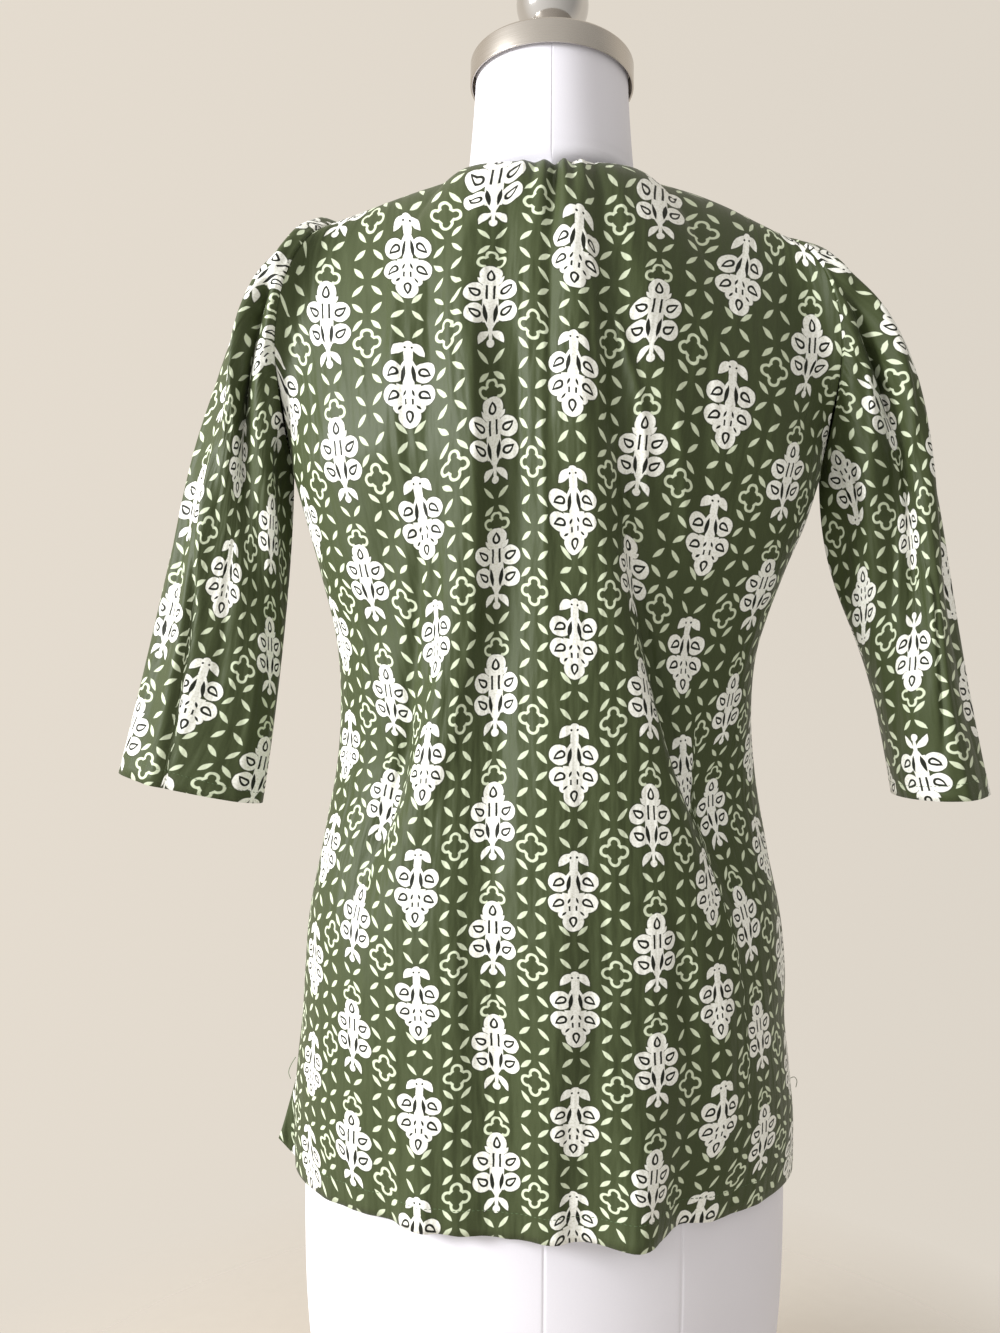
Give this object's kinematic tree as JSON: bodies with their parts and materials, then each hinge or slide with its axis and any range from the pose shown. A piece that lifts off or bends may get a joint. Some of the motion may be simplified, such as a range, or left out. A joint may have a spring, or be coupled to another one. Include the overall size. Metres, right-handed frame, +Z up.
{
  "type": "printed kurti on a limbless dress form",
  "caption": "Short printed cotton-silk kurti, round neck and set-in elbow sleeves, worn on a limbless dress form on a round base.",
  "frame": {"origin": "centre of the underside of the round base plate, on the floor", "axes": "+Z up, -Y the way the back of the garment faces, +X to the right of someone who looks at that back"},
  "size_m": [0.65, 0.3, 1.1865],
  "materials": {
    "printed_cloth": "soft sheen",
    "form_cover": "matte",
    "cap_metal": "satin",
    "finial_metal": "polished",
    "stand_metal": "satin"
  },
  "bodies": {
    "root": {"back_panel": "printed_cloth", "front_panel": "printed_cloth", "left_sleeve": "printed_cloth", "right_sleeve": "printed_cloth", "form_body": "form_cover", "neck_cap": "cap_metal", "finial": "finial_metal", "form_flange": "stand_metal", "pole": "stand_metal", "pole_collar": "stand_metal", "base_plate": "stand_metal"}
  },
  "joints": []
}
